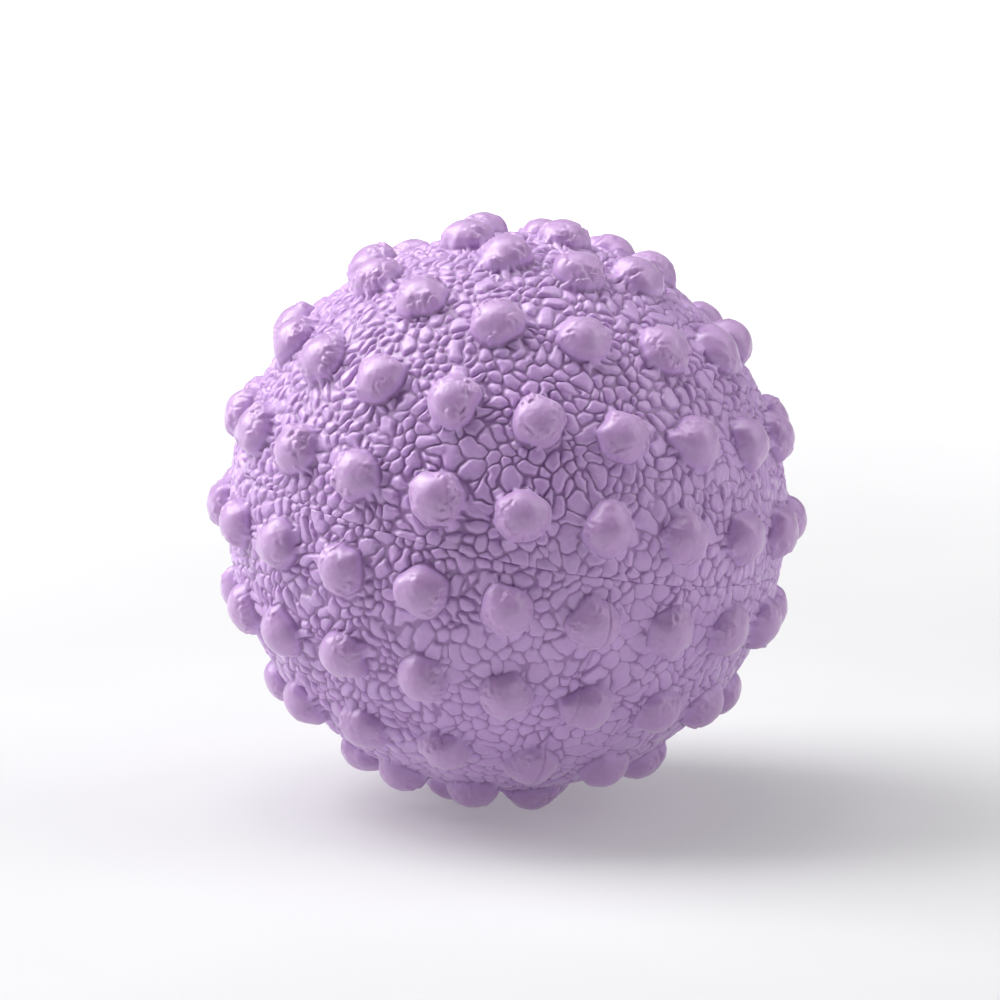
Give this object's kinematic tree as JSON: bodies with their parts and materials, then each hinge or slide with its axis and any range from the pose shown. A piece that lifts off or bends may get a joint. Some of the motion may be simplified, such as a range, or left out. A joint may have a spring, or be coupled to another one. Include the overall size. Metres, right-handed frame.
{
  "type": "massage ball",
  "caption": "Hand-sized soft massage ball: firm core inside two pebble-textured half covers with rings of domed nubs, joined on a mid-plane seam.",
  "frame": {"origin": "centre of the ball", "axes": "+Z square to the parting plane of the two covers, through the nub on the upper cover's pole; -Y faces the front, from which the nub rings' longitudes are counted"},
  "size_m": [0.0444, 0.0444, 0.045],
  "materials": {
    "soft_cover": "lavender soft-touch elastomer, pebble-textured, satin",
    "core": "firm grey elastomer, plain moulded",
    "bond": "cured bonding compound, matt"
  },
  "bodies": {
    "root": {"upper_cover": "soft_cover", "lower_cover": "soft_cover", "core_ball": "core", "upper_bond_film": "bond", "lower_bond_film": "bond", "seam_bond": "bond"}
  },
  "joints": []
}
